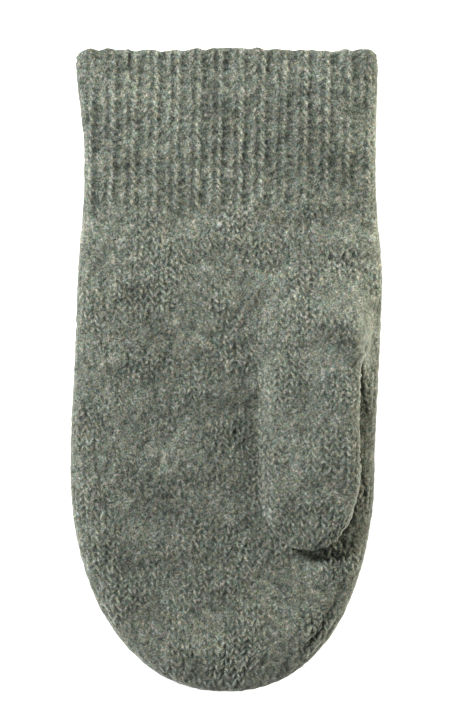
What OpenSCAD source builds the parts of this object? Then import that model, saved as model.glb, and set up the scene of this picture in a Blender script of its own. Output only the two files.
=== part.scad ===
// Felted wool mitten for the left hand, lying flat with the palm up and the thumb folded over the palm.
// X runs across the hand towards the thumb, Y from the fingertips to the cuff, Z up from the surface it lies on.
// The origin is on that surface, under the middle of the mitten's box. All sizes are in millimetres.

/* [Hand] */
// Length from the cast-on edge to the fingertips
total_length = 260; // [240:1:280]
// Widest part of the hand, laid flat
hand_width = 123.2; // [114:0.2:132]
// Height of the hand tube as it lies
hand_height = 12.2; // [12:0.1:14]
// Length of the rounded, decreasing fingertip end
tip_length = 95; // [86:1:100]

/* [Cuff] */
// Length of the ribbed cuff, with its cast-on edge
cuff_length = 67; // [54:1:75]
// Width of the ribbed cuff, laid flat
cuff_width = 118; // [110:1:124]
// Depth of the grooves between the ribs
rib_depth = 0.9; // [0.3:0.1:1.2]
// Ribs across each side of the cuff
rib_count = 14; // [10:1:16]

/* [Thumb] */
// Width of the thumb tube, laid flat
thumb_width = 43; // [40:0.5:45]
// Length from the thumb's fold line to its tip
thumb_length = 82; // [70:1:90]
// Height of the thumb tube as it lies
thumb_height = 11.4; // [11:0.1:12.5]
// Place of the thumb's centre line across the hand
thumb_x = 33.5; // [30:0.5:35]

/* [Fabric] */
// Thickness of the felted fabric
fabric = 2.7; // [2.3:0.1:2.8]

/* [Hidden] */

// Stations along the hand
mouth_y = total_length / 2;
edge_length = 3;
rib_start_y = mouth_y - edge_length;
wrist_y = mouth_y - cuff_length;
tip_y = -total_length / 2;
tip_start_y = tip_y + tip_length;
closure_length = 3.5;
closure_y = tip_y + closure_length;

// Outline of the hand: how sharply the tip rounds over, and how far its middle wanders sideways
tip_power = 2.2;
mouth_flare = 1.4;
flare_length = 26;
wrist_blend = 40;
cuff_shift = 1.2;
finger_shift = -1.9;
shift_length = 90;

// Cross-section of the hand tube: height of its side fold, and the exponents of its two halves.
// floor_press widens the flat that the fabric's own weight presses into the back of the hand.
fold_height = 5.2;
crown_height = hand_height - fold_height;
crown_power = 3.5;
floor_power = 5;
floor_press = 1.05;
tip_half = fabric + 0.4;
tip_flatten = 48;

// The side bands cover the middle of each curved side
band_share = 0.55;
panel_steps = 9;
band_steps = 3;

// Thumb tube, lying just clear of the palm
lift_gap = 0.4;
fold_y = 9;
thumb_mid = thumb_height / 2;
thumb_z = hand_height + lift_gap + thumb_mid;
thumb_tip_y = fold_y - thumb_length;
thumb_tip_length = 30;
thumb_tip_power = 2.1;
thumb_taper = 1.2;
thumb_flatten = 22;
thumb_power = 2.8;
thumb_closure_y = thumb_tip_y + 3;
thumb_steps = 10;

// Base of the thumb: it stays clear of the room that the thumb turns in
fold_clearance = 0.5;
base_start_y = fold_y + 1;
base_length = 34;
base_narrowing = 5;
base_steps = 10;
base_low = 0.2;
base_skirt = 4;

// Opening through the palm, under the thumb's base
opening_w = 34;
opening_l = 20;
opening_y = fold_y + 4 + opening_l / 2;
opening_corner = 6;
opening_band = 2.4;

wool_rib = [0.46, 0.48, 0.43];
wool_plain = [0.43, 0.45, 0.40];
wool_edge = [0.54, 0.55, 0.49];

function clamp(v) = min(1, max(0, v));
function smooth(v) = let (c = clamp(v)) c * c * (3 - 2 * c);
function mix(a, b, t) = a + (b - a) * t;
function rim(v, power) = pow(max(0, 1 - pow(abs(v), power)), 1 / power);

// Outline of the hand: half-width and middle at a station
function half_width(y) =
    (mix(cuff_width, hand_width, smooth((wrist_y + wrist_blend / 3 - y) / wrist_blend)) / 2
        + mouth_flare * smooth((y - mouth_y + flare_length) / flare_length))
    * rim(clamp((tip_start_y - y) / tip_length), tip_power);
function middle_x(y) =
    mix(cuff_shift, finger_shift, smooth((shift_length / 2 - y) / shift_length))
    - finger_shift * smooth((tip_start_y - tip_length / 3 - y) / tip_length);

// Heights of the tube below and above its side fold
function end_height(y) = rim(clamp((tip_y + tip_flatten - y) / tip_flatten), 2);
function below(y) = floor_press * mix(tip_half, fold_height, end_height(y));
function above(y) = mix(tip_half, crown_height, end_height(y));

// Point of the hand's wall, from a point of the unit cross-section. inset is its depth below the outer face.
function hand_point(y, unit, inset = 0) =
    [
        middle_x(y) + unit.x * (half_width(y) - inset),
        y,
        max(0, below(y) / floor_press + unit.y * ((unit.y < 0 ? below(y) : above(y)) - inset))
    ];

// Parts of the unit cross-section, turning from the thumb side over the palm to the little finger side
// and back under the hand
function reach(side) = rim(band_share, side > 0 ? crown_power : floor_power);
function panel_unit(side, x) = [x, side * rim(x, side > 0 ? crown_power : floor_power)];
function panel_row(side) =
    [for (i = [-panel_steps:panel_steps])
        panel_unit(side, -side * reach(side) * sin(90 * i / panel_steps))];
function rib_row(side) =
    let (steps = 4 * rib_count)
    [for (i = [0:steps]) panel_unit(side, side * reach(side) * (1 - 2 * i / steps))];
function band_row(side) =
    [for (i = [-band_steps:band_steps])
        let (up = side * band_share * i / band_steps)
        [side * rim(up, up < 0 ? floor_power : crown_power), up]];
function inner_part(row) = [for (i = [1:len(row) - 2]) row[i]];
function full_row() =
    concat(band_row(1), inner_part(panel_row(1)), band_row(-1), inner_part(panel_row(-1)));

// Stations from the wrist to the fingertips, closer together where the end rounds over
body_steps = 10;
round_steps = 14;
cuff_steps = 8;
cuff_stations = [for (i = [0:cuff_steps]) mix(rib_start_y, wrist_y, i / cuff_steps)];
body_stations = [for (i = [0:body_steps - 1]) mix(wrist_y, tip_start_y, i / body_steps)];
round_stations = [for (i = [0:round_steps]) mix(tip_start_y, closure_y, sin(90 * i / round_steps))];
hand_stations = concat(body_stations, round_stations);

// Closed wall between an outer and an inner grid of points, as a sheet or as a ring
module wall(outer, inner, ring = false) {
    rows = len(outer);
    cols = len(outer[0]);
    spans = ring ? cols : cols - 1;
    function at(layer, r, c) = (layer * rows + r) * cols + c % cols;
    points = concat([for (r = outer) each r], [for (r = inner) each r]);
    skins = [for (r = [0:rows - 2], c = [0:spans - 1]) each [
        [at(0, r, c), at(0, r + 1, c), at(0, r + 1, c + 1)],
        [at(0, r, c), at(0, r + 1, c + 1), at(0, r, c + 1)],
        [at(1, r, c), at(1, r + 1, c + 1), at(1, r + 1, c)],
        [at(1, r, c), at(1, r, c + 1), at(1, r + 1, c + 1)]
    ]];
    ends = [for (c = [0:spans - 1]) each [
        [at(0, 0, c), at(0, 0, c + 1), at(1, 0, c + 1)],
        [at(0, 0, c), at(1, 0, c + 1), at(1, 0, c)],
        [at(0, rows - 1, c), at(1, rows - 1, c + 1), at(0, rows - 1, c + 1)],
        [at(0, rows - 1, c), at(1, rows - 1, c), at(1, rows - 1, c + 1)]
    ]];
    sides = [for (r = [0:rows - 2]) each [
        [at(0, r, 0), at(1, r + 1, 0), at(0, r + 1, 0)],
        [at(0, r, 0), at(1, r, 0), at(1, r + 1, 0)],
        [at(0, r, cols - 1), at(0, r + 1, cols - 1), at(1, r + 1, cols - 1)],
        [at(0, r, cols - 1), at(1, r + 1, cols - 1), at(1, r, cols - 1)]
    ]];
    polyhedron(points, concat(skins, ends, ring ? [] : sides), convexity = 6);
}

// Solid through rows of points, each row a closed loop, with flat ends
module loft(rows) {
    cols = len(rows[0]);
    last = len(rows) - 1;
    function at(r, c) = r * cols + c % cols;
    skin = [for (r = [0:last - 1], c = [0:cols - 1]) each [
        [at(r, c), at(r + 1, c), at(r + 1, c + 1)],
        [at(r, c), at(r + 1, c + 1), at(r, c + 1)]
    ]];
    caps = [
        [for (c = [0:cols - 1]) at(0, c)],
        [for (c = [0:cols - 1]) at(last, cols - 1 - c)]
    ];
    polyhedron([for (r = rows) each r], concat(skin, caps), convexity = 4);
}

// Stretch of the hand's wall over one part of its cross-section
module hand_wall(stations, row) {
    wall(
        [for (y = stations) [for (unit = row) hand_point(y, unit)]],
        [for (y = stations) [for (unit = row) hand_point(y, unit, fabric)]]
    );
}

// Ribs run along the cuff, and fade out at its sides and at the wrist
function rib_groove(side, x, y) =
    rib_depth * (0.5 - 0.5 * cos(180 * rib_count * (x + 1)))
    * smooth((reach(side) - abs(x)) / 0.05) * smooth((y - wrist_y) / 8);

module cuff_side(side) {
    row = rib_row(side);
    wall(
        [for (y = cuff_stations) [for (unit = row)
            hand_point(y, unit) - [0, 0, side * rib_groove(side, unit.x, y)]]],
        [for (y = cuff_stations) [for (unit = row) hand_point(y, unit, fabric)]]
    );
}

// Rounded welt at the mouth of the cuff
module cast_on_edge() {
    swell = 0.35;
    rows = [
        [mouth_y, -0.7], [mouth_y - 0.3, 0], [mouth_y - 1.2, swell],
        [rib_start_y + 0.4, swell], [rib_start_y, 0]
    ];
    color(wool_rib)
    wall(
        [for (r = rows) [for (unit = full_row()) hand_point(r.x, unit, -r.y)]],
        [for (r = rows) [for (unit = full_row()) hand_point(r.x, unit, fabric + min(0, r.y))]],
        ring = true
    );
}

module cuff_palm_side() {
    color(wool_rib) cuff_side(1);
}

module cuff_back_side() {
    color(wool_rib) cuff_side(-1);
}

module palm_wall() {
    hand_wall(hand_stations, panel_row(1));
}

module opening(grow = 0) {
    translate([thumb_x, opening_y])
    linear_extrude(2 * hand_height)
    offset(r = opening_corner + grow)
    square([opening_w - 2 * opening_corner, opening_l - 2 * opening_corner], center = true);
}

// Palm half of the hand, in plain knit
module palm() {
    color(wool_plain)
    difference() {
        palm_wall();
        opening(opening_band);
    }
}

// Stitches picked up round the thumb's opening
module thumb_opening_edge() {
    color(wool_edge)
    difference() {
        intersection() {
            palm_wall();
            opening(opening_band);
        }
        opening();
    }
}

module back_of_hand() {
    color(wool_plain) hand_wall(hand_stations, panel_row(-1));
}

// Edge stitches along one side, which carry the decreases round the tip
module side_band(side) {
    stations = concat(cuff_stations, [for (i = [1:len(hand_stations) - 1]) hand_stations[i]]);
    color(wool_edge) hand_wall(stations, band_row(side));
}

module little_finger_side_band() {
    side_band(-1);
}

module thumb_side_band() {
    side_band(1);
}

// Last stitches of the hand, drawn together and thinning to the end
module fingertip_closure() {
    steps = 4;
    end_y = tip_y + 0.4;
    color(wool_edge)
    loft([for (i = [0:steps])
        let (
            t = i / steps,
            start = hand_point(closure_y, [0, 0]),
            half = half_width(mix(closure_y, end_y, t)),
            slim = 1 - 0.55 * t * t
        )
        [for (unit = full_row())
            let (edge = hand_point(closure_y, unit))
            [middle_x(closure_y) + unit.x * half, mix(closure_y, tip_y, t), mix(start.z, edge.z, slim)]]
    ]);
}

// Thumb tube: half-width and half-height at a station, and a point of its wall
function thumb_half_width(y) =
    (thumb_width / 2 - thumb_taper * smooth((fold_y - y) / thumb_length))
    * rim(clamp((thumb_tip_y + thumb_tip_length - y) / thumb_tip_length), thumb_tip_power);
function thumb_half_height(y) =
    mix(tip_half, thumb_mid, rim(clamp((thumb_tip_y + thumb_flatten - y) / thumb_flatten), 2));
function thumb_point(y, unit, inset = 0) =
    [
        thumb_x + unit.x * (thumb_half_width(y) - inset),
        y,
        thumb_z + unit.y * (thumb_half_height(y) - inset)
    ];
function thumb_row(side) =
    [for (i = [-thumb_steps:thumb_steps])
        let (x = -side * sin(90 * i / thumb_steps)) [x, side * rim(x, thumb_power)]];
function thumb_loop() = [for (side = [1, -1], i = [0:2 * thumb_steps - 1]) thumb_row(side)[i]];

thumb_round_y = thumb_tip_y + thumb_tip_length;
thumb_stations = concat(
    [for (i = [0:5]) mix(fold_y, thumb_round_y, i / 6)],
    [for (i = [0:thumb_steps]) mix(thumb_round_y, thumb_closure_y, sin(90 * i / thumb_steps))]
);

module thumb_wall(side) {
    wall(
        [for (y = thumb_stations) [for (unit = thumb_row(side)) thumb_point(y, unit)]],
        [for (y = thumb_stations) [for (unit = thumb_row(side)) thumb_point(y, unit, fabric)]]
    );
}

module thumb_front() {
    color(wool_plain) thumb_wall(1);
}

module thumb_underside() {
    color(wool_plain) thumb_wall(-1);
}

// Last stitches of the thumb, drawn together
module thumb_tip_closure() {
    steps = 4;
    end_y = thumb_tip_y + 0.3;
    color(wool_edge)
    loft([for (i = [0:steps])
        let (
            t = i / steps,
            half = thumb_half_width(mix(thumb_closure_y, end_y, t)),
            height = thumb_half_height(thumb_closure_y) * (1 - 0.5 * t * t)
        )
        [for (unit = thumb_loop())
            [thumb_x + unit.x * half, mix(thumb_closure_y, thumb_tip_y, t), thumb_z + unit.y * height]]
    ]);
}

// Hood over the opening: it carries the palm's stitches up into the front of the thumb
module base_hood(inset) {
    loft([for (i = [base_steps:-1:0])
        let (
            t = i / base_steps,
            y = base_start_y + base_length * t - (i == 0 ? inset : 0),
            half = thumb_width / 2 - base_narrowing * smooth(t) - inset,
            top = mix(thumb_height + lift_gap, base_low, smooth(t)) - inset
        )
        concat(
            [for (k = [-thumb_steps:thumb_steps])
                let (x = -sin(90 * k / thumb_steps))
                [
                    thumb_x + x * half,
                    y,
                    hand_height + (top + base_skirt) * rim(x, thumb_power) - base_skirt
                ]],
            [for (x = [-half, half]) [thumb_x + x, y, hand_height - 2 * base_skirt]]
        )]);
}

// Space inside the palm's outer face
module hand_bulk() {
    loft([for (y = body_stations) [for (unit = full_row()) hand_point(y, unit)]]);
}

// Room that the thumb's root turns in, and that its front face swings into when it is lifted
module fold_room() {
    radius = thumb_mid + fold_clearance;
    translate([thumb_x, fold_y, thumb_z]) {
        rotate([0, 90, 0]) cylinder(r = radius, h = 2 * thumb_width, center = true, $fn = 64);
        translate([-thumb_width, 0, 0]) cube([2 * thumb_width, radius, 2 * thumb_height]);
    }
}

module thumb_base() {
    color(wool_plain)
    difference() {
        base_hood(0);
        base_hood(fabric);
        hand_bulk();
        fold_room();
    }
}

cast_on_edge();
cuff_palm_side();
cuff_back_side();
palm();
back_of_hand();
little_finger_side_band();
thumb_side_band();
fingertip_closure();
thumb_opening_edge();
thumb_base();
thumb_front();
thumb_underside();
thumb_tip_closure();
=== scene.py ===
"""Felted, heathered wool mitten for the left hand, lying flat with its palm up.

Shapes are worked out in millimetres and built in metres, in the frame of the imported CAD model.
X runs across the hand towards the thumb, Y from the fingertips to the cuff and Z up.
"""

import math

import bpy
import numpy as np
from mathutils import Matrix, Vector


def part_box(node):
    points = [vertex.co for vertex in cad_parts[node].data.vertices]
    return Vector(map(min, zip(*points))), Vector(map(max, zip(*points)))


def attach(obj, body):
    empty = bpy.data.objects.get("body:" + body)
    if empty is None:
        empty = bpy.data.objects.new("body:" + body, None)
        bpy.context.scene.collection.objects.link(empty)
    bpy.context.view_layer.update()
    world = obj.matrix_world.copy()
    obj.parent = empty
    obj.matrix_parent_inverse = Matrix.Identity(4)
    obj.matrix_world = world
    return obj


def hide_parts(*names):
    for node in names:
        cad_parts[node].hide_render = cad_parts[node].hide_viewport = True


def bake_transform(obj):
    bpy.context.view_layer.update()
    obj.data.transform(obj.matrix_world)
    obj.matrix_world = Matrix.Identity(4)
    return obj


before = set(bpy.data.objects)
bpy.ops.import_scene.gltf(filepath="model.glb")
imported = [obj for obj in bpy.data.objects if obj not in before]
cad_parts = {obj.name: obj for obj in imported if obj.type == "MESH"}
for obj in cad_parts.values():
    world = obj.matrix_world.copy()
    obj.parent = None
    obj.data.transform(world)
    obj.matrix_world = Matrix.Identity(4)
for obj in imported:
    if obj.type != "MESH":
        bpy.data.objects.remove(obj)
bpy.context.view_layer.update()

MM = 0.001


def node_span(node, axis):
    """Lowest and highest coordinate of a CAD node along one axis, in millimetres."""
    low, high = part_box(node)
    return low[axis] / MM, high[axis] / MM


# ---- driving sizes, in millimetres

MOUTH_Y = node_span("cast_on_edge", 1)[1]
RIB_Y = node_span("cuff_palm_side", 1)[1]
WRIST_Y = node_span("palm", 1)[1]
TIP_Y = node_span("fingertip_closure", 1)[0]
HAND_TOP = node_span("palm", 2)[1]
THUMB_SLACK = 2.2
THUMB_LEFT = node_span("thumb_front", 0)[0]
THUMB_RIGHT = node_span("thumb_front", 0)[1] - THUMB_SLACK
THUMB_ROOT_Y = node_span("thumb_front", 1)[1]
THUMB_TIP_Y = node_span("thumb_tip_closure", 1)[0] + THUMB_SLACK
THUMB_LOW = node_span("thumb_underside", 2)[0]
THUMB_TOP = node_span("thumb_front", 2)[1]
THUMB_MID = (THUMB_LOW + THUMB_TOP) / 2
THUMB_X = (THUMB_LEFT + THUMB_RIGHT) / 2
THUMB_HALF = (THUMB_RIGHT - THUMB_LEFT) / 2
BASE_END_Y = node_span("thumb_base", 1)[1]

# Outline of the hand, close to the CAD model's, with a soft lean at the mouth
HAND_HALF = 62.0
CUFF_HALF = 59.4
MOUTH_FLARE = 2.1
FLARE_LENGTH = 42.0
WRIST_BLEND = 40.0
TIP_LENGTH = 95.0
TIP_POWER = 2.2
CUFF_SHIFT = 1.2
MOUTH_SHIFT = -1.3
FINGER_SHIFT = -1.9
SHIFT_LENGTH = 90.0

# Heights of the hand
FOLD_Z = 5.4
FLOOR_GAP = 0.6
FLOOR_CLEAR = 0.05
TIP_HALF = 3.1
TIP_FLATTEN = 48.0
CUFF_FLATTER = 2.4
CUFF_FADE = 36.0
EDGE_ROUNDING = 20.0
EDGE_POWER = 2.6
FABRIC = 2.7

# Knitting: one wale is one column of stitches, and one row is its height
WALE = 4.35
ROW = 3.1
WALE_START = 3.35
LEG_SLOPE = 1.5
STITCH_RELIEF = 0.8
BAND_HALF = WALE
FOLD_RELIEF = 0.45
BAND_STITCHES = 0.3
GRID = 0.56
INNER_EVERY = 4

# Ribs of the cuff: one knit column stands proud for every two wales
RIB_RELIEF = 0.4
RIB_HALF = 3.1
RIB_SLANT = 0.02
RIB_SINK = 0.45
RIB_FADE = 7.0
CORD_X = 1.75
CORD_HALF = 0.9
CORD_RELIEF = 0.78
WEAK_CORD = 0.75
PURL_RELIEF = 0.35
# Painted shadow beside the strong cord: where it lies and how wide it is
CORD_SHADOW_X = RIB_HALF + 0.4
CORD_SHADOW_HALF = 0.7


# ---- small mathematics


def clamp(value):
    return np.clip(value, 0.0, 1.0)


def smooth(value):
    value = clamp(value)
    return value * value * (3 - 2 * value)


def mix(a, b, share):
    return a + (b - a) * share


def rim(value, power):
    """Height of a rounded end: 1 at value 0, down to 0 at value 1."""
    return np.maximum(0.0, 1 - np.abs(value) ** power) ** (1 / power)


def bell(value):
    return np.exp(-value ** 2)


def pulse(value):
    """1 at whole numbers, down to 0 halfway between them."""
    return 0.5 + 0.5 * np.cos(2 * math.pi * value)


def full_turn(count):
    return np.linspace(0, 2 * math.pi, count, endpoint=False)


def stacked(*parts):
    """Coordinates side by side, as points."""
    return np.stack(parts, axis=-1)


def xy(points):
    return points[..., 0], points[..., 1]


def unit(vectors):
    return vectors / np.maximum(1e-9, np.linalg.norm(vectors, axis=-1, keepdims=True))


def lengths_along(path):
    """Length of a path up to each of its points."""
    return np.r_[0, np.cumsum(np.linalg.norm(np.diff(path, axis=0), axis=1))]


def loop_directions(loop):
    """Directions along a closed loop of points."""
    return unit(np.roll(loop, -1, axis=0) - np.roll(loop, 1, axis=0))


def waves(points, size, seed, count=36):
    """Smooth random field over points, about -1 to 1, with lumps about size across."""
    random = np.random.default_rng(seed)
    direction = unit(random.normal(size=(count, 3)))
    pitch = random.uniform(0.6, 1.5, count) * math.pi / size
    phase = random.uniform(0, 2 * math.pi, count)
    total = np.zeros(points.shape[:-1])
    for k in range(count):
        total += np.cos(points @ (direction[k] * pitch[k]) + phase[k])
    return total / math.sqrt(count / 2)


# ---- outline and heights of the hand


def half_width(y):
    body = mix(CUFF_HALF, HAND_HALF, smooth((WRIST_Y + WRIST_BLEND / 3 - y) / WRIST_BLEND))
    flare = MOUTH_FLARE * smooth((y - MOUTH_Y + FLARE_LENGTH) / FLARE_LENGTH)
    return (body + flare) * rim(clamp((TIP_Y + TIP_LENGTH - y) / TIP_LENGTH), TIP_POWER)


def middle_x(y):
    shift = mix(CUFF_SHIFT, FINGER_SHIFT, smooth((SHIFT_LENGTH / 2 - y) / SHIFT_LENGTH))
    back = FINGER_SHIFT * smooth((TIP_Y + TIP_LENGTH * 2 / 3 - y) / TIP_LENGTH)
    return shift - back + MOUTH_SHIFT * smooth((y - MOUTH_Y + FLARE_LENGTH) / FLARE_LENGTH)


def end_height(y):
    return rim(clamp((TIP_Y + TIP_FLATTEN - y) / TIP_FLATTEN), 2.0)


def crown(y):
    """Height of the palm's face above the side fold; the cuff lies flatter."""
    flatter = CUFF_FLATTER * smooth((y - WRIST_Y + CUFF_FADE / 3) / CUFF_FADE)
    return mix(TIP_HALF, HAND_TOP - FOLD_Z - flatter, end_height(y))


def fold_z(y):
    return mix(TIP_HALF + FLOOR_GAP, FOLD_Z, end_height(y))


def floor_depth(y):
    return fold_z(y) - FLOOR_GAP


def even_path(points, step):
    """The same path with its points an even step apart."""
    lengths = lengths_along(points)
    at = np.linspace(0, lengths[-1], int(round(lengths[-1] / step)) + 1)
    return stacked(*(np.interp(at, lengths, column) for column in points.T))


def path_normals(path):
    """Unit normals on the left of a path's direction."""
    along = unit(np.gradient(path, axis=0))
    return stacked(-along[:, 1], along[:, 0])


def stations(start_y, tip_y, rounding, count):
    """Places along a shape, closer together where its end rounds off."""
    straight = np.linspace(start_y, tip_y + rounding, count)[:-1]
    turn = np.linspace(0, math.pi / 2, count)
    return np.concatenate([straight, tip_y + rounding * (1 - np.sin(turn))])


def two_sided(middle, half, y):
    """Path down the left side of a shape and up its right side."""
    left, right = stacked(middle - half, y), stacked(middle + half, y)
    return even_path(np.concatenate([left, right[::-1][1:]]), GRID)


def hand_outline():
    """From the mouth down the little finger side, round the tip and up the thumb side."""
    y = stations(MOUTH_Y, TIP_Y, TIP_LENGTH, 400)
    return two_sided(middle_x(y), half_width(y), y)


def look_up(value, given, wanted):
    """Reads a table, and goes straight on past its end."""
    return np.interp(value, given, wanted) + np.maximum(0, value - given[-1])


class Edge:
    """An outline with the rounded side that hangs over it, as height against distance inwards."""

    def __init__(self, path, rounding, power, drop):
        self.path = path
        self.normals = path_normals(path)
        self.rounding = rounding
        self.power = power
        inset = rounding * np.linspace(0, 1, 4000) ** 3
        height = drop * self.share(inset)
        self.table_arc = lengths_along(stacked(inset, height))
        self.table_inset = inset

    def share(self, inset):
        """Share of the full height at a distance inwards from the outline."""
        return rim(1 - clamp(inset / self.rounding), self.power)

    def inset_at(self, arc):
        """Distance inwards at an arc length up over the rounded side."""
        return look_up(arc, self.table_arc, self.table_inset)

    def arc_at(self, inset):
        return look_up(inset, self.table_inset, self.table_arc)

    def nearest(self, points):
        """Number of the outline's point nearest to each point."""
        flat = points.reshape(-1, 2)
        result = np.empty(len(flat), dtype=int)
        for start in range(0, len(flat), 4000):
            gap = flat[start:start + 4000, None, :] - self.path[None, :, :]
            result[start:start + 4000] = np.argmin((gap ** 2).sum(axis=2), axis=1)
        return result.reshape(points.shape[:-1])

    def distance(self, points):
        """Distance inwards of points from the outline."""
        near = self.nearest(points)
        return ((points - self.path[near]) * self.normals[near]).sum(axis=-1)

    def inside(self, inset):
        """The outline moved inwards."""
        return self.path + self.normals * inset


def patch(top, bottom, left, right, across, down):
    """Grid between four border paths. across and down place its lines, from 0 to 1."""

    def along(path, shares):
        lengths = lengths_along(path)
        return stacked(*(np.interp(shares, lengths / lengths[-1], column) for column in path.T))

    top_points, bottom_points = along(top, across), along(bottom, across)
    left_points, right_points = along(left, down), along(right, down)
    s, t = across[None, :, None], down[:, None, None]
    sides = mix(left_points[:, None], right_points[:, None], s)
    ends = mix(top_points[None], bottom_points[None], t)
    corners = mix(mix(top[0], top[-1], s), mix(bottom[0], bottom[-1], s), t)
    return sides + ends - corners


# ---- Blender's objects


def add_object(name, data, place=(0.0, 0.0, 0.0)):
    item = bpy.data.objects.new(name, data)
    item.location = place
    bpy.context.scene.collection.objects.link(item)
    return item


def add_mesh(name, points, faces):
    mesh = bpy.data.meshes.new(name)
    mesh.from_pydata(points, [], faces)
    return add_object(name, mesh)


def read(items, name, width=1, kind=np.float32):
    """One property of every vertex, corner or face as an array, width numbers each."""
    values = np.empty(len(items) * width, dtype=kind)
    items.foreach_get(name, values)
    return values.reshape(-1, width) if width > 1 else values


def ring_faces(rings, sides, closed):
    """Quads between neighbouring rings of points; closed joins the last ring to the first."""
    ring, side = np.arange(rings if closed else rings - 1)[:, None], np.arange(sides)[None, :]
    here, beyond, after = ring * sides, (ring + 1) % rings * sides, (side + 1) % sides
    return stacked(here + side, here + after, beyond + after, beyond + side).reshape(-1, 4)


def set_inputs(node, **values):
    """Sets a node's sockets, with _ for the spaces in their names."""
    for name, value in values.items():
        node.inputs[name.replace("_", " ")].default_value = value


def new_material(name):
    material = bpy.data.materials.new(name)
    material.use_nodes = True
    return material


# ---- how the cloth settles

SETTLE_ROWS = 60
SETTLE_COLUMNS = 34
SETTLE_SCALE = 0.01
SETTLE_FRAMES = 30
SETTLE_CLOTH = {
    "quality": 6, "mass": 0.2, "tension_stiffness": 12, "compression_stiffness": 12, "shear_stiffness": 4,
    "bending_stiffness": 0.6, "use_pressure": True, "uniform_pressure_force": 1.5, "shrink_min": -0.05,
}
WAVE_LIMIT = 1.1
SAG_EDGE = 14.0


def tube_points():
    """Coarse tube of the hand, row by row from the mouth: over the palm, then back under it."""
    y = np.linspace(MOUTH_Y, TIP_Y + 4, SETTLE_ROWS)[:, None]
    over = np.linspace(-1, 1, SETTLE_COLUMNS)
    side = np.concatenate([over, over[::-1][1:-1]])[None, :]
    upper = np.concatenate([np.ones(SETTLE_COLUMNS), np.zeros(SETTLE_COLUMNS - 2)])[None, :]
    share = rim(1 - clamp(half_width(y) * (1 - np.abs(side)) / EDGE_ROUNDING), EDGE_POWER)
    height = np.where(upper > 0, crown(y) * share, -floor_depth(y) * share)
    return stacked(middle_x(y) + half_width(y) * side, y + 0 * side, fold_z(y) + height)


def loose_cloth(points):
    """Where a slack tube of cloth, puffed up a little, comes to rest when it drops onto a floor."""
    rows, cols = points.shape[:2]
    faces = ring_faces(rows, cols, False)[:, ::-1].tolist()
    faces.append([(rows - 1) * cols + k for k in range(cols)])
    tube = add_mesh("settling_tube", (points.reshape(-1, 3) * SETTLE_SCALE).tolist(), faces)
    ground = add_mesh("settling_ground", [(-3, -3, 0), (3, -3, 0), (3, 3, 0), (-3, 3, 0)], [(0, 1, 2, 3)])
    ground.modifiers.new("collision", "COLLISION")
    cloth = tube.modifiers.new("cloth", "CLOTH")
    for key, value in SETTLE_CLOTH.items():
        setattr(cloth.settings, key, value)
    cloth.collision_settings.distance_min = 0.01
    for number in range(1, SETTLE_FRAMES + 1):
        bpy.context.scene.frame_set(number)
    at_rest = tube.evaluated_get(bpy.context.evaluated_depsgraph_get())
    rest = read(at_rest.data.vertices, "co", 3)
    for item in (tube, ground):
        mesh = item.data
        bpy.data.objects.remove(item)
        bpy.data.meshes.remove(mesh)
    bpy.context.scene.frame_set(1)
    return rest.reshape(points.shape) / SETTLE_SCALE


def blurring(places, width):
    """Matrix that blurs values at places over a width."""
    weight = bell((places[:, None] - places[None, :]) / width)
    return weight / weight.sum(axis=1)[:, None]


def settled_waves():
    """Waves of the palm's face that the loose cloth settles into, on an even grid over the hand."""
    start = tube_points()
    lift = (loose_cloth(start) - start)[:, :SETTLE_COLUMNS, 2]
    down, across = start[:, 0, 1], np.linspace(-HAND_HALF, HAND_HALF, SETTLE_COLUMNS)
    trend = blurring(down, 24) @ lift @ blurring(across, 24).T
    wave = blurring(down, 4) @ (lift - trend) @ blurring(across, 4).T
    return WAVE_LIMIT * np.tanh(wave / WAVE_LIMIT)


def settled(points):
    """Height of the settled waves at points."""
    x, y = xy(points)
    row = clamp((MOUTH_Y - y) / (MOUTH_Y - TIP_Y - 4)) * (SETTLE_ROWS - 1)
    column = clamp((x + HAND_HALF) / (2 * HAND_HALF)) * (SETTLE_COLUMNS - 1)
    r = np.minimum(row.astype(int), SETTLE_ROWS - 2)
    c = np.minimum(column.astype(int), SETTLE_COLUMNS - 2)
    s, t = smooth(column - c), smooth(row - r)
    return mix(mix(WAVES[r, c], WAVES[r, c + 1], s), mix(WAVES[r + 1, c], WAVES[r + 1, c + 1], s), t)


WAVES = settled_waves()


# ---- stitches

# Each pattern gives the relief in millimetres, and the painted shade: 1 on the tops of the yarn, 0 in the
# gaps, where the wool's colour is darkened to stand for shade.


def wander(points):
    """How far the stitches stray from an even lattice, across and along."""
    return 0.5 * waves(points, 6, 11), 0.55 * waves(points, 6, 12)


def plain_knit(points, u, v, clearness=0.5):
    """Felted plain knit. u runs across the wales, v along them, and clearness says how well they show."""
    stray_u, stray_v = wander(points)
    column = (u + stray_u - WALE_START) / WALE
    side = np.abs(column - np.round(column)) * 2
    row = (v + stray_v + LEG_SLOPE * side * WALE / 2) / ROW
    across = rim((side - 0.52) / 0.52, 2.0)
    leg = across * (0.35 + 0.65 * pulse(row))
    clear = clamp(clearness + 0.4 * waves(points, 12, 13))
    # Painted shade: darkest in the gaps between the legs, lightest on their tops.
    return STITCH_RELIEF * clear * leg, mix(0.62, leg, clear)


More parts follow.
